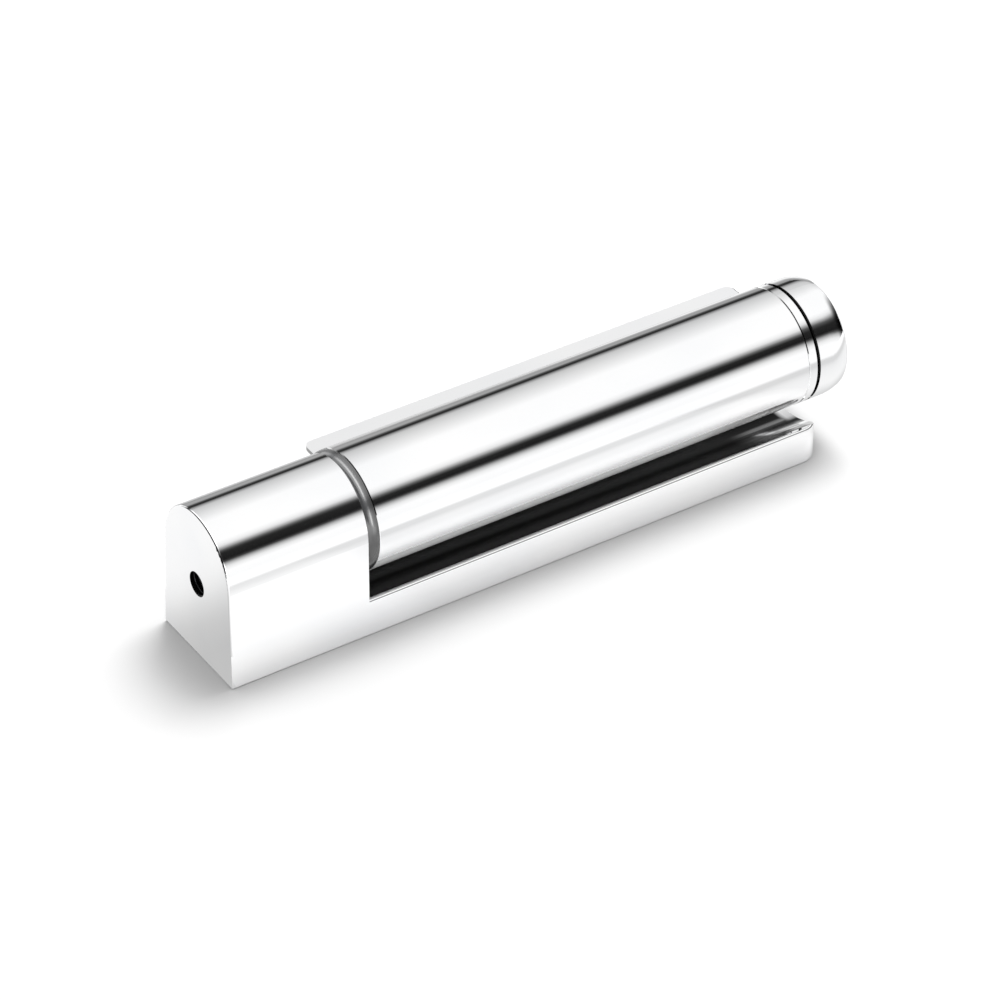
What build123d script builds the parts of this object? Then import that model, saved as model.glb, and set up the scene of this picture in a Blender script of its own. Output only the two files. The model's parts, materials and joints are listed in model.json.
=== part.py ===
from build123d import *
import math
import os

# Rising hinge for a door. X runs along the hinge pin, from the end block to the cap.
# Z points up from the mounting face of the base. The origin is the centre of that face.
# The hinge is drawn with its door shut. All lengths are in millimetres.

# Frame casting: end block and cradle base
base_length = 156.0
base_width = 28.0
axis_height = 24.0          # from the mounting face to the hinge pin
side_draft = 1.5            # degrees, on the block's and the base's sides
block_length = 34.5
dome_rise = 0.4             # centre of the block's round top, above the hinge axis
land_setback = 1.49         # from the foot's long edge in to the cradle's trough, in plan
base_corner_radius = 5.0    # in plan, at the cap's end
block_edge_radius = 0.5     # round the block's end face
land_edge_radius = 0.75     # along the cradle's outer edge
trough_edge_radius = 0.3    # along the edges of the trough
foot_chamfer = 0.3          # round the mounting face

# Barrel, with the two lips that lap the door stile
barrel_radius = 14.0
bore_radius = 9.0
barrel_length = 113.9
channel_width = 11.6        # between the lips
channel_floor = 12.7        # from the hinge axis to the flat that the stile seats on
lip_thickness = 1.0
lip_reach = 17.4            # from the hinge axis to the lips' edges
lip_corner_radius = 2.0
lip_root_radius = 0.8
lip_root_depth = 1.0        # how far the lips' plates start inside the flat
barrel_chamfer = 0.15

# End cap
cap_length = 11.3
cap_crown_length = 4.5      # the last stretch, which curves in towards the end
cap_crown_drop = 0.9
cap_edge_radius = 0.8
cap_band = 2.1              # the narrow band before the groove
groove_width = 0.9
groove_depth = 1.1
cap_joint_chamfer = 0.2     # where the cap meets the barrel
plug_length = 8.0
seal_width = 1.6
seal_depth = 1.2

# Hinge pin and what it carries
pin_radius = 5.0
block_end_wall = 8.0        # solid metal left of the pin
stud_radius = 4.0           # the pin's threaded end
stud_length = 10.0
stud_chamfer = 0.8
pin_end_gap = 5.1           # from the stud to the cap's plug, with the door shut
bush_length = 12.0
bush_chamfer = 0.5
washer_radius = 8.3
washer_thickness = 1.6
nut_across_flats = 13.0
nut_height = 6.5
nut_chamfer = 0.8
nut_corner_cut = 0.1        # how far the turned blank lies inside the nut's sharp corners

# Screw that keys the pin to the block, half in each
lock_screw_radius = 2.9
lock_screw_length = 14.0
lock_screw_recess = 6.0
lock_screw_drop = 4.7       # its centre, below the hinge axis
lock_socket_across_flats = 3.0
lock_socket_depth = 4.0

# Cams. One turn would lift the barrel by cam_lead.
cam_lead = 27.0
cam_base = 3.5              # lower cam's plain sleeve, from the collar to the foot of the ramps
cam_crest = 0.5             # cut off the knife edge at the top of each ramp
collar_width = 2.5          # the grey ring that shows
collar_inset = 0.1          # collar's edges, inside the block's dome and the barrel
collar_crown = 0.25         # how far the collar swells above a straight taper
cam_tail_radius = 8.0
cam_tail_length = 8.5
upper_cam_sleeve = 9.5      # plain sleeve above the ramps
cam_dowel_radius = 2.0
cam_dowel_bite = 2.3        # how far the dowel goes into the cam's tail
cam_dowel_recess = 5.0
cam_dowel_chamfer = 0.4
cam_screw_radius = 2.0
cam_screw_bite = 1.8
cam_socket_across_flats = 2.0
cam_socket_depth = 2.0

# Closing spring and its seat
wire_size = 1.8             # square wire
spring_radius = 6.9         # to the middle of the wire
spring_turns = 8
seat_thickness = 1.5

# Fixing holes, tapped M5
hole_count = 4              # in the mounting face, and again in the barrel's flat
tapped_hole_radius = 2.1
base_hole_pitch = 42.0
base_hole_depth = 3.6       # stops short of the trough
stile_hole_pitch = 21.0

# Clearances
running_gap = 0.05          # radial, between the pin and what turns on it
turning_gap = 0.3           # between other parts that turn past each other
swing_clearance = 0.7       # between the lips' corners and the cradle
barrel_gap = 0.1            # between the collar and the barrel
face_gap = 0.1              # between flat faces that turn on each other

# Places along X
block_start = -base_length / 2
base_end = base_length / 2
block_end = block_start + block_length
collar_end = block_end + collar_width
barrel_start = collar_end + barrel_gap
barrel_end = barrel_start + barrel_length
barrel_middle = (barrel_start + barrel_end) / 2
ramp_foot = collar_end + cam_base
ramp_rise = cam_lead / 2    # two ramps of half a turn each
upper_cam_end = ramp_foot + turning_gap + ramp_rise + upper_cam_sleeve
upper_cam_screw_x = upper_cam_end - upper_cam_sleeve / 2
seat_start = upper_cam_end + face_gap
spring_start = seat_start + seat_thickness
stud_start = barrel_end - plug_length - pin_end_gap - stud_length
bush_start = stud_start - bush_length
spring_length = bush_start - spring_start
washer_end = stud_start + washer_thickness
seal_start = barrel_end - (plug_length + seal_width) / 2
tail_start = block_end - cam_tail_length
pin_start = block_start + block_end_wall
lock_screw_start = block_start + lock_screw_recess
lock_screw_end = lock_screw_start + lock_screw_length
cam_dowel_x = (tail_start + block_end) / 2
stile_holes_middle = bush_start + bush_length / 2 - stile_hole_pitch   # clear of the cam and the bush

# Sizes that follow from others
draft_angle = math.radians(side_draft)
dome_height = axis_height + dome_rise
dome_radius = base_width / 2 * math.cos(draft_angle) - dome_height * math.sin(draft_angle)
collar_radius = dome_radius - collar_inset
lip_offset = channel_width / 2 + lip_thickness
trough_radius = math.hypot(lip_reach, lip_offset) + swing_clearance
trough_reach = base_width / 2 - land_setback
land_height = axis_height - math.sqrt(trough_radius ** 2 - trough_reach ** 2)
cam_radius = bore_radius - turning_gap
cam_bore_radius = pin_radius + running_gap
step_angle = math.degrees(turning_gap / ((cam_radius + cam_bore_radius) / 2))
cutter_margin = 1.0
same_height = 0.01


def axis_plane(x):
    """Plane across the hinge axis at x, with its own axes along Y and Z."""
    return Plane(origin=(x, 0, axis_height), x_dir=(0, 1, 0), z_dir=(1, 0, 0))


def rod(start, end, radius):
    """Round bar on the hinge axis."""
    return extrude(axis_plane(start) * Circle(radius), amount=end - start)


def tube(start, end, outer, inner):
    """Round tube on the hinge axis."""
    return rod(start, end, outer) - rod(start, end, inner)


def drill(x, y, z, direction, radius, depth):
    """Round bar from a point along a direction, to cut a hole or to fill one."""
    return extrude(Plane(origin=(x, y, z), z_dir=direction) * Circle(radius), amount=depth)


def hole_row(middle, pitch):
    """Places along X of a row of fixing holes."""
    first = middle - pitch * (hole_count - 1) / 2
    return [first + pitch * i for i in range(hole_count)]


def lock_screw_bar(start, end):
    """Round bar where the lock screw lies, half in the pin and half in the block."""
    return drill(start, 0, axis_height - lock_screw_drop, (1, 0, 0), lock_screw_radius, end - start)


def hex_socket(x, y, z, direction, across_flats, depth):
    """Six-sided bar that cuts a key socket."""
    sketch = RegularPolygon(across_flats / 2, 6, major_radius=False)
    return extrude(Plane(origin=(x, y, z), z_dir=direction) * sketch, amount=depth)


def block_profile():
    """D-shape of the block: drafted sides that run on into a round top."""
    foot = base_width / 2
    side_y = dome_radius * math.cos(draft_angle)
    side_z = dome_height + dome_radius * math.sin(draft_angle)
    with BuildLine() as outline:
        Line((-foot, 0), (foot, 0))
        Line((foot, 0), (side_y, side_z))
        ThreePointArc((side_y, side_z), (0, dome_height + dome_radius), (-side_y, side_z))
        Line((-side_y, side_z), (-foot, 0))
    return make_face(outline.line)


def cradle_profile():
    """Drafted section of the base, before the trough is cut."""
    foot = base_width / 2
    top = foot - land_height * math.tan(draft_angle)
    return make_face(Polyline((-foot, 0), (foot, 0), (top, land_height), (-top, land_height), close=True))


def frame_body():
    """One casting: the end block, and the cradle that lies under the barrel."""
    section = Plane(origin=(block_start, 0, 0), x_dir=(0, 1, 0), z_dir=(1, 0, 0))
    block = extrude(section * block_profile(), amount=block_length)
    block = fillet(block.faces().sort_by(Axis.X)[0].edges().filter_by(lambda e: e.center().Z > same_height),
                   block_edge_radius)
    cradle = extrude(section * cradle_profile(), amount=base_length)
    far_end = cradle.faces().sort_by(Axis.X)[-1]
    corners = far_end.edges().filter_by(lambda e: abs(e.center().Y) > base_width / 4)
    cradle = fillet(corners, base_corner_radius)
    top_edges = cradle.faces().sort_by(Axis.Z)[-1].edges()
    cradle = fillet(top_edges.filter_by(lambda e: e.center().X > block_end), land_edge_radius)
    cradle -= rod(block_end, base_end + cutter_margin, trough_radius)
    rims = cradle.edges().filter_by(Axis.X).filter_by(
        lambda e: abs(abs(e.center().Y) - trough_reach) < same_height)
    cradle = fillet(rims, trough_edge_radius)
    body = block + cradle
    body = chamfer(body.faces().sort_by(Axis.Z)[0].edges(), foot_chamfer)
    body -= rod(pin_start, block_end, pin_radius)
    body -= rod(tail_start, block_end, cam_tail_radius)
    body -= lock_screw_bar(block_start, lock_screw_end)
    body -= cam_dowel_bar(0)
    for x in hole_row(0, base_hole_pitch):
        body -= drill(x, 0, 0, (0, 0, 1), tapped_hole_radius, base_hole_depth)
    return body


def hinge_pin():
    """Steel pin, notched for the lock screw and stepped down to its threaded end."""
    pin = rod(pin_start, stud_start, pin_radius) + rod(stud_start, stud_start + stud_length, stud_radius)
    pin = chamfer(pin.faces().sort_by(Axis.X)[-1].edges(), stud_chamfer)
    return pin - lock_screw_bar(pin_start - cutter_margin, lock_screw_end)


def pin_lock_screw():
    """Grub screw, driven in through the block's end face."""
    screw = lock_screw_bar(lock_screw_start, lock_screw_end)
    screw -= hex_socket(lock_screw_start, 0, axis_height - lock_screw_drop, (1, 0, 0),
                        lock_socket_across_flats, lock_socket_depth)
    return screw


def cam_dowel_bar(start):
    """Upright round bar from a height above the mounting face into the lower cam's tail."""
    top = axis_height - cam_tail_radius + cam_dowel_bite
    return drill(cam_dowel_x, 0, start, (0, 0, 1), cam_dowel_radius, top - start)


def lower_cam_dowel():
    return chamfer(cam_dowel_bar(cam_dowel_recess).edges().sort_by(Axis.Z)[0], cam_dowel_chamfer)


def above_ramps(foot, turn, height):
    """All the space above two half-turn helical ramps that start at a foot and a turn."""
    inner = cam_bore_radius - cutter_margin
    outer = bore_radius + cutter_margin
    edges = [Helix(cam_lead, ramp_rise, radius) for radius in (inner, outer)]
    ramp = Face.make_surface_from_curves(edges[0], edges[1])
    cutter = extrude(ramp, amount=height, dir=(0, 0, 1))
    place = axis_plane(foot).location
    return place * (Rot(0, 0, turn) * cutter) + place * (Rot(0, 0, turn + 180) * cutter)


def collar_profile():
    """Half section of the collar. It swells from the block's round top to the barrel."""
    low = axis_height + collar_radius
    high = axis_height + barrel_radius - collar_inset
    with BuildLine() as outline:
        ThreePointArc((block_end, low), ((block_end + collar_end) / 2, (low + high) / 2 + collar_crown),
                      (collar_end, high))
        Polyline((collar_end, high), (collar_end, axis_height + cam_bore_radius),
                 (block_end, axis_height + cam_bore_radius), (block_end, low))
    return Plane.XZ * make_face(outline.line)


def lower_cam():
    """Nylon cam: a tail in the block, the collar that shows, and two rising ramps."""
    collar = revolve(collar_profile(), Axis((0, 0, axis_height), (1, 0, 0)))
    tail = tube(tail_start, block_end, cam_tail_radius, cam_bore_radius)
    crest = ramp_foot + ramp_rise - cam_crest
    ramps = tube(collar_end, crest, cam_radius, cam_bore_radius)
    ramps -= above_ramps(ramp_foot, 0, ramp_rise + cutter_margin)
    return collar + tail + ramps - cam_dowel_bar(cam_dowel_recess)


def upper_cam():
    """Nylon cam, fixed in the barrel. Its ramps ride up on the lower cam's."""
    foot = ramp_foot + turning_gap
    blank = tube(foot, upper_cam_end, bore_radius, cam_bore_radius)
    cam = blank & above_ramps(foot, step_angle, upper_cam_end - foot + cutter_margin)
    for side in (-1, 1):
        cam -= cam_screw_bar(side)
    return cam


def cam_screw_bar(side):
    """Round bar from the channel's floor into the upper cam."""
    depth = channel_floor - bore_radius + cam_screw_bite
    return drill(upper_cam_screw_x, channel_floor, axis_height + side * channel_width / 4,
                 (0, -1, 0), cam_screw_radius, depth)


def upper_cam_screw(side):
    """Grub screw with a key socket, flush with the channel's floor."""
    z = axis_height + side * channel_width / 4
    return cam_screw_bar(side) - hex_socket(upper_cam_screw_x, channel_floor, z, (0, -1, 0),
                                            cam_socket_across_flats, cam_socket_depth)


def lip(side):
    """Thin full-length lip, rounded at its two outer corners."""
    root = channel_floor - lip_root_depth
    plate = Pos(barrel_middle, (root + lip_reach) / 2, 0) * Rectangle(barrel_length, lip_reach - root)
    corners = plate.vertices().filter_by(lambda v: v.Y > channel_floor)
    plate = fillet(corners, lip_corner_radius)
    low = axis_height + min(side * channel_width / 2, side * lip_offset)
    return Pos(0, 0, low) * extrude(plate, amount=lip_thickness)


def leaf_body():
    """One casting: the barrel, flat along its back, with a lip above and below the flat."""
    barrel = rod(barrel_start, barrel_end, barrel_radius)
    barrel = chamfer(barrel.edges().filter_by(GeomType.CIRCLE), barrel_chamfer)
    body = barrel + lip(1) + lip(-1)
    roots = body.edges().filter_by(Axis.X).filter_by(
        lambda e: abs(abs(e.center().Z - axis_height) - lip_offset) < same_height
        and e.center().Y < channel_floor)
    body = fillet(roots, lip_root_radius)
    flat = Box(barrel_length + 2 * cutter_margin, lip_reach - channel_floor + cutter_margin, channel_width,
               align=(Align.CENTER, Align.MIN, Align.CENTER))
    body -= Pos(barrel_middle, channel_floor, axis_height) * flat
    body -= rod(barrel_start, barrel_end, bore_radius)
    for side in (-1, 1):
        body -= cam_screw_bar(side)
    for x in hole_row(stile_holes_middle, stile_hole_pitch):
        body -= drill(x, channel_floor, axis_height, (0, -1, 0), tapped_hole_radius, channel_floor)
    return body


def cap_profile():
    """Half section of the cap: straight, then curving in to its flat end."""
    end = barrel_end + cap_length
    crown_start = end - cap_crown_length
    crown_radius = (cap_crown_length ** 2 + cap_crown_drop ** 2) / (2 * cap_crown_drop)
    top = axis_height + barrel_radius
    with BuildLine() as outline:
        Polyline((end, top - cap_crown_drop), (end, axis_height), (barrel_end, axis_height),
                 (barrel_end, top), (crown_start, top))
        RadiusArc((crown_start, top), (end, top - cap_crown_drop), crown_radius)
    return Plane.XZ * make_face(outline.line)


def end_cap():
    """Turned cap with a band, a groove and a crowned end, and a plug that fits the barrel."""
    cap = revolve(cap_profile(), Axis((0, 0, axis_height), (1, 0, 0)))
    cap = fillet(cap.faces().sort_by(Axis.X)[-1].edges(), cap_edge_radius)
    cap = chamfer(cap.faces().sort_by(Axis.X)[0].edges(), cap_joint_chamfer)
    groove_start = barrel_end + cap_band
    cap -= tube(groove_start, groove_start + groove_width, barrel_radius + cutter_margin,
                barrel_radius - groove_depth)
    plug = rod(barrel_end - plug_length, barrel_end, bore_radius)
    plug -= tube(seal_start, seal_start + seal_width, bore_radius + cutter_margin, bore_radius - seal_depth)
    return cap + plug


def cap_seal_ring():
    return tube(seal_start, seal_start + seal_width, bore_radius, bore_radius - seal_depth)


def spring_seat():
    """Washer under the spring. It rises with the barrel but does not turn with it."""
    return tube(seat_start, spring_start, washer_radius, pin_radius + running_gap)


def closing_spring():
    """Compression spring of square wire, made turn by turn, with its two ends ground flat."""
    pitch = spring_length / spring_turns
    edges = [Helix(pitch, pitch, spring_radius + side * wire_size / 2) for side in (-1, 1)]
    turn = extrude(Face.make_surface_from_curves(edges[0], edges[1]), amount=wire_size, dir=(0, 0, 1))
    turns = [axis_plane(spring_start + pitch * i).location * turn for i in range(-1, spring_turns)]
    room = rod(spring_start, bush_start, bore_radius)
    turns[0] = turns[0] & room
    turns[-1] = turns[-1] & room
    return turns[0] + turns[1:]


def guide_bush():
    """Nylon bush on the pin. The barrel slides and turns on it."""
    bush = tube(bush_start, stud_start, bore_radius - running_gap, pin_radius)
    rims = bush.edges().filter_by(GeomType.CIRCLE).filter_by(lambda e: e.radius > pin_radius)
    return chamfer(rims, bush_chamfer)


def pin_washer():
    return tube(stud_start, washer_end, washer_radius, stud_radius)


def pin_nut():
    """Plain six-sided nut on the pin's threaded end."""
    nut_end = washer_end + nut_height
    hexagon = RegularPolygon(nut_across_flats / 2, 6, major_radius=False)
    corner_radius = nut_across_flats / 2 / math.cos(math.pi / 6)
    crowned = rod(washer_end, nut_end, corner_radius - nut_corner_cut)
    crowned = chamfer(crowned.edges().filter_by(GeomType.CIRCLE), nut_chamfer)
    blank = extrude(axis_plane(washer_end) * hexagon, amount=nut_height)
    return (blank & crowned) - rod(washer_end, nut_end, stud_radius)


parts = {
    "frame_body": frame_body(),
    "hinge_pin": hinge_pin(),
    "pin_lock_screw": pin_lock_screw(),
    "lower_cam": lower_cam(),
    "lower_cam_dowel": lower_cam_dowel(),
    "guide_bush": guide_bush(),
    "pin_washer": pin_washer(),
    "pin_nut": pin_nut(),
    "spring_seat": spring_seat(),
    "closing_spring": closing_spring(),
    "leaf_body": leaf_body(),
    "upper_cam": upper_cam(),
    "upper_cam_screw_1": upper_cam_screw(-1),
    "upper_cam_screw_2": upper_cam_screw(1),
    "end_cap": end_cap(),
    "cap_seal_ring": cap_seal_ring(),
}

os.makedirs("parts", exist_ok=True)
for name, shape in parts.items():
    export_step(shape, f"parts/{name}.step")
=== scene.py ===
# %% [markdown]
# A rising hinge in polished chrome
# This hinge lifts its door a little as the door opens, and its spring helps the door fall shut.
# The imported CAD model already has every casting, pin, cam and screw at its real size, so its
# meshes stay as they are. This lesson gives them their finishes, adds the threads in the
# tapped holes, and builds the small white studio that polished metal needs around it.

# %% Load the hinge
import json
import math

import bpy
from mathutils import Matrix, Vector


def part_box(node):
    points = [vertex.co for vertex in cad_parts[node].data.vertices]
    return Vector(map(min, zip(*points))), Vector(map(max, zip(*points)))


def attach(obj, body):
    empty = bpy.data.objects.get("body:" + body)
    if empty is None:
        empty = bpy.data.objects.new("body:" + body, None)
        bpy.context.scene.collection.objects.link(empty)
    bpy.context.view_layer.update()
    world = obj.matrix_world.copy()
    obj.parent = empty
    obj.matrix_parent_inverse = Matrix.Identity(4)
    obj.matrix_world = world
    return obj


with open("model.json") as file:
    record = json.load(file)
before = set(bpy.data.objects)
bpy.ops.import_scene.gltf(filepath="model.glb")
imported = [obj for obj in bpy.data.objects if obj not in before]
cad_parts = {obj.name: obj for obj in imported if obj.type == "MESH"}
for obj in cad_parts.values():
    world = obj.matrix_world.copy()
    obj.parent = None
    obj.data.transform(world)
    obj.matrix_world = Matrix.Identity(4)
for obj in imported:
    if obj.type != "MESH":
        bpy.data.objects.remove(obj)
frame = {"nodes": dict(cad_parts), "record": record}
nodes = frame["nodes"]
mounts = {mount["name"]: mount for mount in frame["record"]["mounts"]}
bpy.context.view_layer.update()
mm = 0.001

# %% [markdown]
# The camera stands in front of the hinge and to its left, a little above it, and looks
# through a long lens. A long lens from far away keeps the hinge's edges nearly parallel.
# A camera could be aimed with a Track To constraint. A matrix made from its three axes says
# the same thing in plain numbers and can also lean the camera by a degree.

# %% Camera
camera_azimuth = math.radians(-34.41)   # round from straight in front, towards the block's end
camera_elevation = math.radians(37.18)
camera_roll = math.radians(1.30)
camera_distance = 959.53 * mm
camera_target = Vector((-13.62, -18.74, 27.59)) * mm
camera_lens = 161.34                    # on Blender's sensor, 36 mm wide


def aim(azimuth, elevation, roll):
    """Rotation that looks back along a direction given by its azimuth and elevation."""
    back = Vector((math.sin(azimuth) * math.cos(elevation),
                   -math.cos(azimuth) * math.cos(elevation),
                   math.sin(elevation)))
    level = Vector((0, 0, 1)).cross(back).normalized()
    upright = back.cross(level)
    right = math.cos(roll) * level + math.sin(roll) * upright
    up = math.cos(roll) * upright - math.sin(roll) * level
    return Matrix((right, up, back)).transposed()


camera_data = bpy.data.cameras.new("camera")
camera_data.lens = camera_lens
camera = bpy.data.objects.new("camera", camera_data)
turn = aim(camera_azimuth, camera_elevation, camera_roll)
camera.matrix_world = Matrix.Translation(camera_target + turn.col[2] * camera_distance) @ turn.to_4x4()
bpy.context.scene.collection.objects.link(camera)
bpy.context.scene.camera = camera
bpy.context.scene.view_settings.view_transform = "Standard"
print("camera stands at", [round(v, 3) for v in camera.matrix_world.translation])

# %% [markdown]
# Every finish and the sky are node trees. A few short words for adding a node, feeding an
# input and doing one sum keep those trees readable: each method below returns the output
# socket that the next step needs.

# %% Short words for node trees
class Nodes:
    """One node tree, emptied, with short words for filling it."""

    def __init__(self, tree):
        self.tree = tree
        tree.nodes.clear()

    def add(self, kind, **settings):
        node = self.tree.nodes.new(kind)
        for name, value in settings.items():
            setattr(node, name, value)
        return node

    def feed(self, target, source):
        """Gives an input a plain value or another node's output."""
        if isinstance(source, bpy.types.NodeSocket):
            self.tree.links.new(source, target)
        else:
            target.default_value = source

    def math(self, operation, *values):
        node = self.add("ShaderNodeMath", operation=operation)
        for target, value in zip(node.inputs, values):
            self.feed(target, value)
        return node.outputs[0]

    def ranged(self, value, start, end, low=0.0, high=1.0, steps="LINEAR"):
        """Turns values from start to end into values from low to high, and stops there."""
        node = self.add("ShaderNodeMapRange", interpolation_type=steps)
        settings = {"Value": value, "From Min": start, "From Max": end, "To Min": low, "To Max": high}
        for name, setting in settings.items():
            self.feed(node.inputs[name], setting)
        return node.outputs["Result"]

    def ramp(self, value, stops):
        """Grey tones, each at its place from 0 to 1."""
        node = self.add("ShaderNodeValToRGB")
        elements = node.color_ramp.elements
        elements.remove(elements[-1])
        for i, (place, tone) in enumerate(stops):
            stop = elements[0] if i == 0 else elements.new(place)
            stop.position = place
            stop.color = (tone, tone, tone, 1)
        self.feed(node.inputs["Fac"], value)
        return node.outputs["Color"]

    def tint(self, share, dark, light):
        """Blends from one colour to another by a share."""
        node = self.add("ShaderNodeMix", data_type="RGBA")
        self.feed(node.inputs["Factor"], share)
        for name, source in (("A", dark), ("B", light)):
            self.feed(node.inputs[name], (*source, 1) if isinstance(source, tuple) else source)
        return node.outputs["Result"]

    def blend(self, share, first, second):
        """Blends from one shader to another by a share."""
        node = self.add("ShaderNodeMixShader")
        for target, source in zip(node.inputs, (share, first, second)):
            self.feed(target, source)
        return node.outputs[0]

    def product(self, first, *others):
        """All its values multiplied together."""
        for other in others:
            first = self.math("MULTIPLY", first, other)
        return first

    def split(self, vector):
        node = self.add("ShaderNodeSeparateXYZ")
        self.feed(node.inputs["Vector"], vector)
        return node.outputs

    def noise(self, place, stretch, detail=2.0):
        """Noise whose grains per metre along each axis are given by stretch."""
        mapping = self.add("ShaderNodeMapping")
        mapping.inputs["Scale"].default_value = stretch
        self.feed(mapping.inputs["Vector"], place)
        texture = self.add("ShaderNodeTexNoise")
        texture.inputs["Scale"].default_value = 1.0
        texture.inputs["Detail"].default_value = detail
        self.feed(texture.inputs["Vector"], mapping.outputs["Vector"])
        return texture.outputs["Fac"]

    def spread(self, value, low, high):
        """Turns the middle range of a noise into values from low to high."""
        return self.ranged(value, 0.35, 0.65, low, high)

    def relief(self, height, depth, below=None):
        """A bump of a real depth, laid over another one if given."""
        bump = self.add("ShaderNodeBump")
        bump.inputs["Distance"].default_value = depth
        self.feed(bump.inputs["Height"], height)
        if below is not None:
            self.feed(bump.inputs["Normal"], below)
        return bump.outputs["Normal"]

    def mirror_rays(self):
        """1 for a ray that leaves polished metal and has met nothing dull before, otherwise 0."""
        rays = self.add("ShaderNodeLightPath").outputs
        return self.product(rays["Is Glossy Ray"], self.math("LESS_THAN", rays["Diffuse Depth"], 0.5))

    def camera_rays(self):
        return self.add("ShaderNodeLightPath").outputs["Is Camera Ray"]


print("node words ready")

# %% [markdown]
# Polished chrome has almost no look of its own: it shows what stands around it. A product
# studio is a white tent with a few dark gaps, and those gaps draw the black lines that make
# metal look like metal. Cards could be hung round the hinge, but the hinge is long and
# straight, so a sky that mostly changes round the hinge's own axis does the same with a
# short list of tones. Towards the cap's end the main gap opens wider, as a long slot does
# when one looks along it. The tent's end walls are dark, and the left one draws the thin line
# round the block's end face. A reflection that leans to neither end meets a brighter middle.
# Only reflections see this sky. The camera sees plain white, and the light itself stays plain
# and even. The walls suit the view from the front: seen from an end, the hinge's top mirrors
# the far wall and looks black.

# %% Studio tones round the hinge
# Degrees from straight up, positive over the front. A tone of 1 is white.
tent_tones = [
    (-180, 0.95), (-96, 0.42), (-84, 0.38), (-80, 0.12), (-75, 0.02), (-71, 0.03), (-66, 0.34),
    (-60, 0.62), (-46, 0.76), (-32, 0.90), (-18, 1.06), (28, 1.08), (34, 0.97), (38, 0.82),
    (42, 0.45), (46, 0.13), (50, 0.02), (58, 0.012), (61, 0.08), (66, 0.55), (71, 0.90),
    (78, 1.08), (180, 1.00)]
slot_middle = 51.0                      # degrees, where the main dark gap lies
barrel_lean = 0.893                     # how far reflections in the barrel lie across the axis
left_wall = (-0.48, -0.62)              # the dark wall's soft edge, by how far a ray leans left
right_wall = (0.86, 0.97)               # the same at the cap's end, by how far a ray leans right
wall_tone = 0.04
middle_left = (-0.30, -0.16)            # the bright middle's soft edges, by the same lean
middle_right = (0.16, 0.02)
bright_middle = 2.0                     # added to the tent's strength there
plain_light = 0.66

world = bpy.data.worlds.new("studio")
world.use_nodes = True
bpy.context.scene.world = world
sky = Nodes(world.node_tree)
along, across, up = sky.split(sky.add("ShaderNodeTexCoord").outputs["Generated"])
around = sky.math("DEGREES", sky.math("ARCTAN2", sky.math("MULTIPLY", across, -1.0), up))
lean = sky.math("SQRT", sky.math("SUBTRACT", 1.0, sky.math("MULTIPLY", along, along)))
narrowing = sky.math("DIVIDE", lean, barrel_lean)
seen_at = sky.math("MULTIPLY_ADD", sky.math("SUBTRACT", around, slot_middle), narrowing, slot_middle)
tones = sky.ramp(sky.ranged(seen_at, -180.0, 180.0), [((a + 180) / 360, tone) for a, tone in tent_tones])
tent = sky.add("ShaderNodeBackground")
sky.feed(tent.inputs["Color"], tones)
walls = [sky.ranged(along, *wall, 1.0, wall_tone, "SMOOTHSTEP") for wall in (left_wall, right_wall)]
in_middle = sky.product(sky.ranged(along, *middle_left), sky.ranged(along, *middle_right))
open_tent = sky.math("MULTIPLY_ADD", in_middle, bright_middle, 1.0)
sky.feed(tent.inputs["Strength"], sky.product(open_tent, *walls))
plain = sky.add("ShaderNodeBackground")
sky.feed(plain.inputs["Color"], (1, 1, 1, 1))
sky.feed(plain.inputs["Strength"], plain_light)
white = sky.add("ShaderNodeBackground")
sky.feed(white.inputs["Color"], (1, 1, 1, 1))
lit = sky.blend(sky.mirror_rays(), plain.outputs[0], tent.outputs[0])
seen = sky.blend(sky.camera_rays(), lit, white.outputs[0])
sky.feed(sky.add("ShaderNodeOutputWorld").inputs["Surface"], seen)
print("studio sky with", len(tent_tones), "tones")

# %% [markdown]
# The hinge lies on white card. The card is a little grey, so that it can hold a shadow, and
# it glows faintly, which lifts the open card to pure white. The glow grows with the distance
# from the hinge, so that in reflections the card meets the tent without a dark line. Only
# reflections see the light and shade painted on the card: grey that deepens behind the hinge,
# a soft grey strip in front with bright strips close to the hinge, and beyond both ends of the
# hinge a painted shadow in place of its real one.

# %% Tones of the white card
floor_half = 3.0
floor_drop = 0.02 * mm                  # keeps the card just under the hinge's face
paper_tone = 0.82
paper_glow = 0.05
distant_glow = 0.65
near_card = 150 * mm                    # the glow grows between these distances from the hinge's middle
distant_card = 900 * mm
paper_near = -200 * mm                  # the stretch across the hinge over which the tones below run
paper_far = 400 * mm
by_barrel = [                           # millimetres across, and the painted tone that reflections see there
    (-200, 1.40), (-110, 1.10), (-82, 0.76), (-62, 0.76), (-47, 0.92), (-38, 0.95), (-29, 1.03),
    (-23, 1.07), (-20, 1.11), (-17, 1.24), (-15, 1.32), (-10, 1.04), (20, 1.04), (55, 1.0),
    (72, 0.66), (150, 0.52), (300, 0.28)]
by_block = [
    (-200, 1.40), (-110, 1.10), (-82, 0.80), (-62, 0.85), (-50, 0.98), (-42, 1.08), (-29, 1.12), (-23, 1.14),
    (-18, 1.26), (-15, 1.42), (-10, 1.04), (20, 1.04), (55, 1.0), (72, 0.66), (150, 0.52), (300, 0.28)]
block_to_barrel = (-34, -24)            # millimetres along, where reflections go over from one to the other
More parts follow.
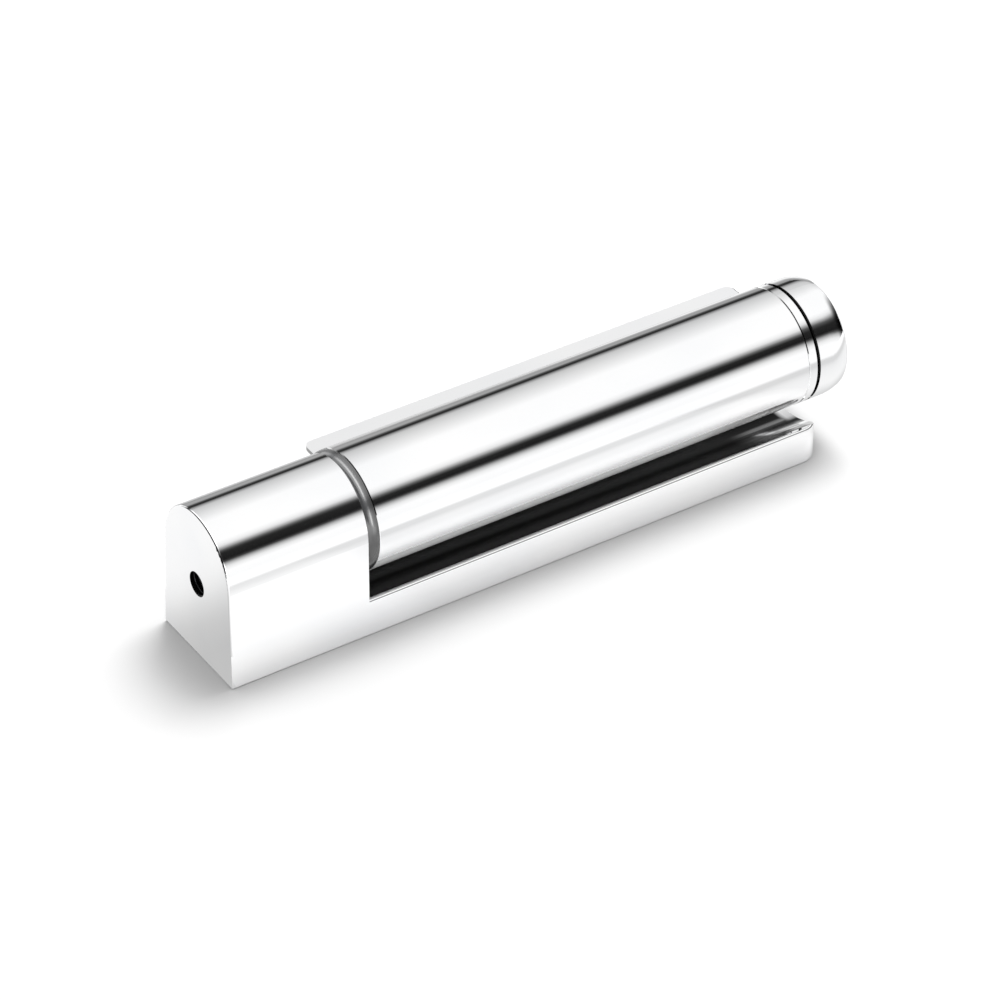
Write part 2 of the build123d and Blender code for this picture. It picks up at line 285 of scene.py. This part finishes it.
painted_end_tones = [                           # where each end starts along the hinge, and its painted tones, which copy the shadow near that end
    ((-76, -78), [(-110, 1.10), (-36, 1.06), (-24, 0.85), (-14, 0.57), (0, 0.57), (6, 0.61),
                  (9, 0.64), (12, 0.70), (16, 0.80), (19, 0.89), (23, 0.96), (27, 1.0),
                  (33, 1.02), (60, 1.05)]),
    ((76, 86), [(-110, 1.10), (-82, 0.76), (-62, 0.76), (-47, 0.91), (-38, 0.96), (-26, 0.99), (-18, 1.0),
                (-15, 0.96), (-12, 0.91), (-9, 0.84), (-6, 0.77), (0, 0.70), (14, 0.66),
                (40, 1.0), (68, 1.05), (99, 0.95), (168, 0.48), (300, 0.36)])]
print("card tones:", len(by_barrel), "by the barrel,", len(by_block), "by the block")


# %% [markdown]
# The floor is one flat sheet of that card. Its material adds two shaders. A dull one catches
# the shadow, and a glowing one serves the camera and the reflections. Rays that have met
# something dull before see plain card, so the tones above don't colour the light.

# %% Floor
def sheet(name, corners, material):
    """One flat stage sheet, given by its four corners."""
    mesh = bpy.data.meshes.new(name)
    mesh.from_pydata(corners, [], [(0, 1, 2, 3)])
    mesh.materials.append(material)
    stage = bpy.data.objects.new(name, mesh)
    bpy.context.scene.collection.objects.link(stage)


card = bpy.data.materials.new("white_card")
card.use_nodes = True
paper = Nodes(card.node_tree)
place = paper.add("ShaderNodeTexCoord").outputs["Object"]
along, across = paper.split(place)[:2]


def tones_across(tones):
    """Grey tones that follow the distance across the hinge."""
    span = (paper_far - paper_near) / mm
    stops = [((y - paper_near / mm) / span, tone) for y, tone in tones]
    return paper.ramp(paper.ranged(across, paper_near, paper_far), stops)


middle = paper.add("ShaderNodeVectorMath", operation="LENGTH")
paper.feed(middle.inputs[0], place)
glowing = paper.math("MAXIMUM", paper.camera_rays(), paper.mirror_rays())
strength = paper.ranged(middle.outputs["Value"], near_card, distant_card, paper_glow, distant_glow)
reached = paper.ranged(along, *[x * mm for x in block_to_barrel])
reflected = paper.tint(reached, tones_across(by_block), tones_across(by_barrel))
share = paper.tint(paper.mirror_rays(), (1, 1, 1), reflected)
dull_tone = paper.tint(paper_tone, (0, 0, 0), share)
glow_tone = paper.tint(paper.product(glowing, strength), (0, 0, 0), share)
# Beyond each end, reflections see a painted shadow in place of the card's real shadow.
for (start, stop), tones in painted_end_tones:
    end = paper.product(paper.mirror_rays(), paper.ranged(along, start * mm, stop * mm))
    dull_tone = paper.tint(end, dull_tone, (0, 0, 0))
    glow_tone = paper.tint(end, glow_tone, tones_across(tones))
dull = paper.add("ShaderNodeBsdfDiffuse")
paper.feed(dull.inputs["Color"], dull_tone)
glow = paper.add("ShaderNodeEmission")
paper.feed(glow.inputs["Color"], glow_tone)
both = paper.add("ShaderNodeAddShader")
paper.feed(both.inputs[0], dull.outputs[0])
paper.feed(both.inputs[1], glow.outputs[0])
paper.feed(paper.add("ShaderNodeOutputMaterial").inputs["Surface"], both.outputs[0])
corners = [(x * floor_half, y * floor_half, -floor_drop) for x, y in ((-1, -1), (1, -1), (1, 1), (-1, 1))]
sheet("floor", corners, card)
print("floor is", 2 * floor_half, "m wide")

# %% [markdown]
# One soft box hangs overhead, a little behind the hinge and towards its cap, so the shadow
# falls forward and to the left. A wide lamp gives the shadow its soft edge. The lamp is
# hidden from reflections, which would otherwise show a bright square in the chrome.

# %% Soft box
soft_box_place = Vector((0.25, 0.17, 0.85))
soft_box_size = 0.44
soft_box_power = 6.2

soft_box_data = bpy.data.lights.new("soft_box", "AREA")
soft_box_data.shape = "SQUARE"
soft_box_data.size = soft_box_size
soft_box_data.energy = soft_box_power
soft_box = bpy.data.objects.new("soft_box", soft_box_data)
soft_box.location = soft_box_place
soft_box.rotation_euler = soft_box_place.to_track_quat("Z", "Y").to_euler()
soft_box.visible_glossy = False
bpy.context.scene.collection.objects.link(soft_box)
print("soft box hangs", round(soft_box_place.length, 2), "m away")

# %% [markdown]
# Chrome plate copies the surface under it, so it is never perfectly smooth. Polishing leaves
# faint lines along the casting, the plate swells and sinks very slightly, handling leaves
# hazy patches, and here and there a pit shows through. In the cap's groove, the hole in the
# block's end face and the long trough the plate is rougher and painted dark as the shade that
# falls there. The chamfer at the barrel's joint with the cap is painted dark as shade and dirt,
# and the lips' sawn ends are a duller grey. Masks painted by hand could say where all that is.
# Here each is worked out from places on the plated pieces, so it is 1 in its place and 0 elsewhere.

# %% Plate tones, painted shade and dull places
axis_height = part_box("hinge_pin")[0][2] / 2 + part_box("hinge_pin")[1][2] / 2
bright_plate = (0.94, 0.94, 0.94)
blue_plate = (0.90, 0.905, 0.915)
# painted shade: the trough under the barrel is painted near black
trough_shade_plate = (0.006, 0.006, 0.006)
satin_plate = (0.80, 0.80, 0.80)
sawn_plate = (0.30, 0.30, 0.30)
# painted shade in the cap's groove and the block's end hole, painted shade and dirt on the joint chamfer
shade_and_dirt = (0.02, 0.02, 0.02)
seen_by_card = (0.25, 0.25, 0.25)       # keeps the plate from throwing light back into its own shadow
dowel_cover = 2.5 * mm                  # metal between the lower cam's dowel and the block's end
block_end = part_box("lower_cam_dowel")[1][0] + dowel_cover
barrel_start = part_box("leaf_body")[0][0]
barrel_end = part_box("leaf_body")[1][0]
trough_edge = (19.42 * mm, 19.50 * mm)  # from the axis
shade_streaks_from = (14 * mm, 6 * mm)         # before the barrel's end, where the trough's painted shade begins to break into streaks
shade_streaks_front = (-11.5 * mm, -9.5 * mm)  # the edges across the trough of the streaks without painted shade
shade_streaks_back = (-5 * mm, -2 * mm)
shade_free_end = (1.5 * mm, 3 * mm)         # past the barrel's end, where the trough has no painted shade
covered_from = (111.0, 116.0)           # degrees off the top, where the cradle covers the barrel
covered_until = (45 * mm, 65 * mm)      # along the hinge
groove_middle = 2.55 * mm               # past the barrel's end
groove_reach = 0.5 * mm
groove_rim = (13.30 * mm, 13.50 * mm)   # from the axis
joint_chamfer = (0.16 * mm, 0.12 * mm)  # before the barrel's end
hole_margin = 0.05 * mm
lip_rise = 0.3 * mm                     # above the channel's floor
print("block ends at", round(block_end / mm, 2), "mm, barrel at", round(barrel_end / mm, 2), "mm")


def new_material(name):
    """A material for a finish, with its tree, its main shader and its object coordinates."""
    material = bpy.data.materials.new(name)
    material.use_nodes = True
    tree = Nodes(material.node_tree)
    shader = tree.add("ShaderNodeBsdfPrincipled")
    tree.feed(tree.add("ShaderNodeOutputMaterial").inputs["Surface"], shader.outputs[0])
    return material, tree, shader.inputs, tree.add("ShaderNodeTexCoord").outputs["Object"]


def from_axis(tree, place):
    """Distance from the hinge axis."""
    x, y, z = tree.split(place)
    height = tree.math("SUBTRACT", z, axis_height)
    return tree.math("SQRT", tree.math("ADD", tree.product(y, y), tree.product(height, height)))


def round_axis(tree, place):
    """Degrees round the hinge axis from straight up, positive over the front."""
    x, y, z = tree.split(place)
    forward = tree.math("MULTIPLY", y, -1.0)
    return tree.math("DEGREES", tree.math("ARCTAN2", forward, tree.math("SUBTRACT", z, axis_height)))


def trough_mask(tree, place):
    """The cradle's trough, painted near black as the shade under the barrel. Near its open end the painted
    shade breaks into streaks and then stops.
    """
    x, y, z = tree.split(place)
    inside = tree.ranged(from_axis(tree, place), *trough_edge, 1.0, 0.0)
    streaks = tree.spread(tree.noise(place, (30, 900, 900)), 0.25, 1.0)
    reached = tree.ranged(x, *[barrel_end - reach for reach in shade_streaks_from], 0.0, 1.0, "SMOOTHSTEP")
    front = tree.ranged(y, *shade_streaks_front)
    back = tree.ranged(y, *shade_streaks_back, 1.0, 0.0)
    open_end = tree.ranged(x, *[barrel_end + reach for reach in shade_free_end])
    shade_gaps = tree.math("MAXIMUM", tree.product(streaks, reached, front, back), open_end)
    return tree.product(inside, tree.math("SUBTRACT", 1.0, shade_gaps), tree.math("GREATER_THAN", x, block_end))


def underside_mask(tree, place):
    """The barrel's underside, which faces the cradle. It is less dull towards the open end."""
    off = tree.math("ABSOLUTE", round_axis(tree, place))
    covered = tree.ranged(tree.split(place)["X"], *covered_until, 1.0, 0.25)
    return tree.product(tree.ranged(off, *covered_from, 0.0, 1.0, "SMOOTHSTEP"), covered)


def groove_mask(tree, place):
    """The cap's groove, below its rim, which is painted dark as the shade in it."""
    x = tree.split(place)["X"]
    groove = tree.math("COMPARE", x, barrel_end + groove_middle, groove_reach)
    return tree.product(groove, tree.ranged(from_axis(tree, place), *groove_rim, 1.0, 0.0))


def joint_mask(tree, place):
    """The chamfer at the barrel's end, painted dark as the shade and dirt in the joint with the cap."""
    return tree.ranged(tree.split(place)["X"], *[barrel_end - reach for reach in joint_chamfer])


def screw_hole_mask(tree, place):
    """The hole in the block's end face, painted dark as the shade inside it."""
    low, high = [Vector(corner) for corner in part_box("pin_lock_screw")]
    middle = tree.add("ShaderNodeVectorMath", operation="DISTANCE")
    flat = tree.add("ShaderNodeVectorMath", operation="MULTIPLY")
    tree.feed(flat.inputs[0], place)
    flat.inputs[1].default_value = (0, 1, 1)
    tree.feed(middle.inputs[0], flat.outputs[0])
    middle.inputs[1].default_value = (0, (low.y + high.y) / 2, (low.z + high.z) / 2)
    inside = tree.math("LESS_THAN", middle.outputs["Value"], (high.z - low.z) / 2 + hole_margin)
    return tree.math("MULTIPLY", inside, tree.math("LESS_THAN", tree.split(place)["X"], high.x))


def lip_mask(tree, place):
    """Both lips, where they stand above the channel's floor."""
    channel_floor = mounts["stile_face"]["pos_m"][1]
    return tree.math("GREATER_THAN", tree.split(place)["Y"], channel_floor + lip_rise)


def lip_end_mask(tree, place):
    """The lips' sawn ends, which face the block."""
    facing = tree.split(tree.add("ShaderNodeTexCoord").outputs["Normal"])["X"]
    return tree.product(lip_mask(tree, place), tree.math("LESS_THAN", facing, -0.5))


print("masks ready for the dull places")


# %% [markdown]
# The block, the barrel and the cap share one chrome. Its tree lays pits over a plate that is a
# touch bluer in places, then the painted shade and the dull places, and two bumps of real depth:
# a slow swell and the fine lines of polishing. Light that the plate would throw back on the card
# is held down, so that the shadow next to the hinge stays soft and even.

# %% Chrome
def make_chrome(name, shade_and_dull_places, shape, satin=None):
    """Chrome plate. A place of painted shade or a dull place has a mask, the plate's tone there and what it
    adds to the roughness.
    """
    material, tree, shader, place = new_material(name)
    shader["Metallic"].default_value = 1.0
    rough = tree.spread(tree.noise(place, (45, 70, 70), 3), 0.035, 0.07)
    plate = tree.tint(tree.spread(tree.noise(place, (30, 55, 55)), 0, 1), blue_plate, bright_plate)
    pits = tree.add("ShaderNodeTexVoronoi")
    pits.inputs["Scale"].default_value = 75
    tree.feed(pits.inputs["Vector"], place)
    rare = tree.ranged(tree.split(pits.outputs["Color"])["X"], 0.80, 1.0, 0.0, 0.022)
    pit = tree.math("LESS_THAN", pits.outputs["Distance"], rare)
    plate = tree.tint(tree.math("MULTIPLY", pit, 0.6), plate, (0.12, 0.12, 0.12))
    plate = tree.tint(tree.add("ShaderNodeLightPath").outputs["Is Diffuse Ray"], plate, seen_by_card)
    for mask, tone, added in shade_and_dull_places:
        dull = mask(tree, place)
        plate = tree.tint(dull, plate, tone)
        rough = tree.math("MULTIPLY_ADD", dull, added, rough)
    if satin:
        unbuffed = satin(tree, place)
        plate = tree.tint(unbuffed, plate, satin_plate)
        tree.feed(shader["Metallic"], tree.math("SUBTRACT", 1.0, tree.math("MULTIPLY", unbuffed, 0.85)))
    tree.feed(shader["Base Color"], plate)
    tree.feed(shader["Roughness"], rough)
    swell = tree.relief(tree.noise(place, (90, 160, 160), 1), 0.004 * mm)
    lines = tree.relief(tree.noise(place, (60, 2600, 2600)), 0.0006 * mm, swell)
    tree.feed(shader["Normal"], shape(tree, place, lines))
    return material


print("chrome ready to be made")


# %% [markdown]
# Polished faces are never quite true, and a mirror shows it: on a round that is a few degrees
# off, the dark line lies a few degrees further round. Changing the mesh would spoil its real
# sizes, so only the shading normal is turned, as a bump does.

# %% Faces that aren't quite true
lip_bow = (0, -0.16, 0)                 # how far the lips' faces lean towards the barrel
cap_bow = (0.07, 0, 0)                  # how far the cap's side leans towards its end
cap_rim = 0.4 * mm                      # the cap's side stops this far before its end
front_turn = 3.5                        # degrees that the buffing wheel leaves a round off in front


def leaning(tree, normal, lean, share):
    """Leans the shading by a share, as where a face bows slightly after casting or polishing."""
    own = tree.add("ShaderNodeVectorTransform", vector_type="VECTOR",
                   convert_from="OBJECT", convert_to="WORLD")
    own.inputs[0].default_value = lean
    push = tree.add("ShaderNodeVectorMath", operation="SCALE")
    tree.feed(push.inputs[0], own.outputs[0])
    tree.feed(push.inputs["Scale"], share)
    total = tree.add("ShaderNodeVectorMath", operation="ADD")
    tree.feed(total.inputs[0], normal)
    tree.feed(total.inputs[1], push.outputs[0])
    unit = tree.add("ShaderNodeVectorMath", operation="NORMALIZE")
    tree.feed(unit.inputs[0], total.outputs[0])
    return unit.outputs[0]


def buffed_round(tree, place, normal, behind=front_turn):
    """The buffing wheel leaves a round a few degrees off, by one angle in front and another behind."""
    around = round_axis(tree, place)
    leaning_off = tree.ranged(around, 0, 38, math.radians(behind), math.radians(front_turn))
    turn = tree.product(leaning_off, tree.ranged(around, -60, -50), tree.ranged(around, 44, 52, 1.0, 0.0))
    turned = tree.add("ShaderNodeVectorRotate", rotation_type="X_AXIS")
    tree.feed(turned.inputs["Vector"], normal)
    tree.feed(turned.inputs["Angle"], turn)
    return turned.outputs[0]


def bowed_lips(tree, place, normal):
    """The lips' faces, which bow a little towards the barrel."""
    return leaning(tree, normal, lip_bow, lip_mask(tree, place))


def bowed_cap(tree, place, normal):
    """The cap's side, which bows towards its end and was buffed the other way behind."""
    side = tree.math("LESS_THAN", tree.split(place)["X"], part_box("end_cap")[1][0] - cap_rim)
    return buffed_round(tree, place, leaning(tree, normal, cap_bow, side), behind=-2.5)


print("lips, cap and rounds have their shading")

# %% [markdown]
# The pieces that aren't plated are simpler. Moulded nylon is mottled and a little shiny, and
# has shade painted low on its front. On the collar that shows, shade is also painted on the
# side next to the barrel. Turned steel has tool marks, and rubber has a dry dust.

# %% Nylon, steel and rubber
collar_swell = (0.28, 0, 0)             # how far the nylon collar's edges lean outwards


def make_nylon():
    """Grey nylon. Its normals swell only on the lower cam's collar, between the block and the barrel."""
    material, tree, shader, place = new_material("grey_nylon")
    mottle = tree.noise(place, (260, 260, 260), 4)
    shader["IOR"].default_value = 1.9
    x = tree.split(place)["X"]
    collar = tree.product(tree.math("GREATER_THAN", x, block_end), tree.math("LESS_THAN", x, barrel_start))
    swollen = tree.product(collar, tree.ranged(x, block_end, barrel_start, -1.0, 1.0))
    underneath = tree.ranged(round_axis(tree, place), 66, 90)
    # painted shade: darker and less shiny low on the front and on the collar's side next to the barrel
    nylon_shade = tree.math("MAXIMUM", underneath, tree.ranged(swollen, -0.2, 0.6, 0.0, 0.8))
    grey = tree.tint(tree.spread(mottle, 0, 1), (0.095, 0.097, 0.100), (0.125, 0.127, 0.131))
    tree.feed(shader["Base Color"], tree.tint(nylon_shade, grey, (0.045, 0.045, 0.045)))
    tree.feed(shader["Specular IOR Level"], tree.ranged(nylon_shade, 0.0, 1.0, 1.0, 0.45))
    tree.feed(shader["Roughness"], tree.spread(mottle, 0.15, 0.21))
    moulded = tree.relief(tree.noise(place, (3200, 3200, 3200)), 0.006 * mm)
    tree.feed(shader["Normal"], leaning(tree, moulded, collar_swell, swollen))
    return material


def make_steel(name, dark, light):
    material, tree, shader, place = new_material(name)
    shader["Metallic"].default_value = 1.0
    tool_marks = tree.noise(place, (4200, 120, 120))
    tree.feed(shader["Base Color"], tree.tint(tree.spread(tool_marks, 0, 1), dark, light))
    tree.feed(shader["Roughness"], tree.spread(tool_marks, 0.22, 0.34))
    tree.feed(shader["Normal"], tree.relief(tool_marks, 0.008 * mm))
    return material


def make_rubber():
    material, tree, shader, place = new_material("black_rubber")
    dust = tree.noise(place, (900, 900, 900), 4)
    black = tree.tint(tree.spread(dust, 0, 1), (0.018, 0.018, 0.018), (0.05, 0.05, 0.052))
    tree.feed(shader["Base Color"], black)
    tree.feed(shader["Roughness"], tree.spread(dust, 0.55, 0.75))
    tree.feed(shader["Normal"], tree.relief(dust, 0.01 * mm))
    return material


finishes = {
    "steel": make_steel("turned_steel", (0.50, 0.51, 0.53), (0.62, 0.63, 0.65)),
    "black_steel": make_steel("blackened_steel", (0.035, 0.036, 0.040), (0.075, 0.076, 0.080)),
    "grey_nylon": make_nylon(),
    "black_rubber": make_rubber()}
print("plain finishes:", ", ".join(finishes))

# %% [markdown]
# The record names a material for every piece. The block, the barrel and the cap each take a
# chrome made for them, and every other piece takes the finish that the record names.

# %% Give each piece its finish
# The trough, the block's end hole and the cap's groove are painted dark as shade, the joint chamfer as shade
# and dirt.
plated = {
    "frame_body": make_chrome(
        "frame_chrome", [(trough_mask, trough_shade_plate, 0.12), (screw_hole_mask, shade_and_dirt, 0.3)], buffed_round),
    "leaf_body": make_chrome(
        "leaf_chrome", [(joint_mask, shade_and_dirt, 0.3), (lip_end_mask, sawn_plate, 0.2)], bowed_lips,
        satin=underside_mask),
    "end_cap": make_chrome("cap_chrome", [(groove_mask, shade_and_dirt, 0.3)], bowed_cap)}
for part in frame["record"]["subparts"]:
    finish = plated[part["node"]] if part["node"] in plated else finishes[part["material_slot"]]
    for slot in nodes[part["node"]].material_slots:
        slot.material = finish

# %% [markdown]
# The tapped holes of the CAD model are plain round walls. A tap leaves one helical ridge in
# each, and the ridge is what the eye looks for in a hole. It repeats, so Geometry Nodes make
# it: a spiral with a four-sided profile along it, set at every hole of a row. The tree's inputs
# are the sizes that a machinist would name.

# %% A tree for rows of threads
thread_inputs = {
    "Hole radius": "NodeSocketFloat", "Ridge": "NodeSocketFloat", "Turns": "NodeSocketFloat",
    "Length": "NodeSocketFloat", "Holes": "NodeSocketInt", "Spacing": "NodeSocketFloat",
    "Finish": "NodeSocketMaterial"}


def thread_tree():
    """Geometry tree that makes a row of threads, each along Z, in a line along X."""
    tree = bpy.data.node_groups.new("thread_row", "GeometryNodeTree")
    for name, kind in thread_inputs.items():
        tree.interface.new_socket(name=name, in_out="INPUT", socket_type=kind)
    tree.interface.new_socket(name="Geometry", in_out="OUTPUT", socket_type="NodeSocketGeometry")
    row = Nodes(tree)
    given = row.add("NodeGroupInput").outputs
    spiral = row.add("GeometryNodeCurveSpiral")
    spiral_settings = {"Resolution": 32, "Rotations": given["Turns"], "Height": given["Length"],
                       "Start Radius": given["Hole radius"], "End Radius": given["Hole radius"]}
    for name, setting in spiral_settings.items():
        row.feed(spiral.inputs[name], setting)
    upright = row.add("GeometryNodeSetCurveNormal", mode="Z_UP")
    row.feed(upright.inputs["Curve"], spiral.outputs[0])
    profile = row.add("GeometryNodeCurvePrimitiveCircle")
    row.feed(profile.inputs["Resolution"], 4)
    row.feed(profile.inputs["Radius"], given["Ridge"])
    ridge = row.add("GeometryNodeCurveToMesh")
    row.feed(ridge.inputs["Curve"], upright.outputs[0])
    row.feed(ridge.inputs["Profile Curve"], profile.outputs[0])
    row.feed(ridge.inputs["Fill Caps"], True)
    step = row.add("ShaderNodeCombineXYZ")
    row.feed(step.inputs["X"], given["Spacing"])
    places = row.add("GeometryNodeMeshLine", mode="OFFSET")
    row.feed(places.inputs["Count"], given["Holes"])
    row.feed(places.inputs["Offset"], step.outputs[0])
    copies = row.add("GeometryNodeInstanceOnPoints")
    row.feed(copies.inputs["Points"], places.outputs[0])
    row.feed(copies.inputs["Instance"], ridge.outputs[0])
    solid = row.add("GeometryNodeRealizeInstances")
    row.feed(solid.inputs[0], copies.outputs[0])
    finished = row.add("GeometryNodeSetMaterial")
    row.feed(finished.inputs["Geometry"], solid.outputs[0])
    row.feed(finished.inputs["Material"], given["Finish"])
    row.feed(row.add("NodeGroupOutput").inputs["Geometry"], finished.outputs[0])
    return tree


thread_maker = thread_tree()
print("thread tree has", len(thread_maker.nodes), "nodes")

# %% [markdown]
# Three sets of threads use it: the row that takes the door's screws, the row under the base,
# and the hole in the block's end face, where the screw that locks the pin sits deep inside.
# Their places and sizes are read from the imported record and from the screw's own box. Each
# result is turned into a plain mesh and moved in its vertices, so its object stays at the origin.

# %% Threads in the tapped holes
m5_pitch = 0.8 * mm
m6_pitch = 1.0 * mm
ridge_share = 0.3                       # how much of the pitch a ridge stands out
stop_share = 0.36                       # how much of the pitch a tap stops short of each end


def thread_row(name, body, finish, hole_radius, pitch, length, holes, spacing, placing):
    """A row of threads on a body. Placing turns and moves it from the tree's axes to the hinge's."""
    blank = bpy.data.objects.new(name + "_maker", bpy.data.meshes.new(name + "_blank"))
    bpy.context.scene.collection.objects.link(blank)
    maker = blank.modifiers.new("threads", "NODES")
    maker.node_group = thread_maker
    values = {"Hole radius": hole_radius, "Ridge": pitch * ridge_share, "Turns": length / pitch,
              "Length": length, "Holes": holes, "Spacing": spacing, "Finish": finishes[finish]}
    for item in thread_maker.interface.items_tree:
        if item.in_out == "INPUT":
            maker[item.identifier] = values[item.name]
    blank.update_tag()
    ready = blank.evaluated_get(bpy.context.evaluated_depsgraph_get())
    mesh = bpy.data.meshes.new_from_object(ready)
    mesh.transform(placing)
    bpy.data.objects.remove(blank)
    piece = bpy.data.objects.new(name, mesh)
    bpy.context.scene.collection.objects.link(piece)
    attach(piece, body)
    print(name, "has", len(mesh.polygons), "faces")


def screw_row(outer, inner):
    """First place, hole radius and spacing of a row of four screws from its two mounts."""
    centre = Vector(mounts[outer]["pos_m"])
    reach = mounts[outer]["dims"]["spacing_x_mm"] * mm / 2
    spacing = mounts[inner]["dims"]["spacing_x_mm"] * mm
    return centre - Vector((reach, 0, 0)), mounts[outer]["dims"]["hole_r_mm"] * mm, spacing


bore_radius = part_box("upper_cam")[1][1]
m5_stop = m5_pitch * stop_share
first, hole_radius, spacing = screw_row("stile_screws_outer", "stile_screws_inner")
wall = first.y - bore_radius
placing = (Matrix.Translation((first.x, bore_radius + m5_stop, first.z))
           @ Matrix.Rotation(-math.pi / 2, 4, "X"))
thread_row("stile_threads", "leaf", "steel", hole_radius, m5_pitch, wall - 2 * m5_stop, 4, spacing, placing)

base_hole_depth = 3.6 * mm              # these holes stop short of the trough
first, hole_radius, spacing = screw_row("frame_screws_outer", "frame_screws_inner")
placing = Matrix.Translation((first.x, 0, m5_stop))
length = base_hole_depth - 2 * m5_stop
thread_row("base_threads", "frame", "steel", hole_radius, m5_pitch, length, 4, spacing, placing)

screw_low, screw_high = [Vector(corner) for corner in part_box("pin_lock_screw")]
block_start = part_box("frame_body")[0][0]
m6_stop = m6_pitch * stop_share
hole_radius = (screw_high.z - screw_low.z) / 2
length = screw_low.x - block_start - 2 * m6_stop
placing = (Matrix.Translation((block_start + m6_stop, 0, (screw_low.z + screw_high.z) / 2))
           @ Matrix.Rotation(math.pi / 2, 4, "Y"))
thread_row("lock_screw_thread", "frame", "black_steel", hole_radius, m6_pitch, length, 1, 0.0, placing)
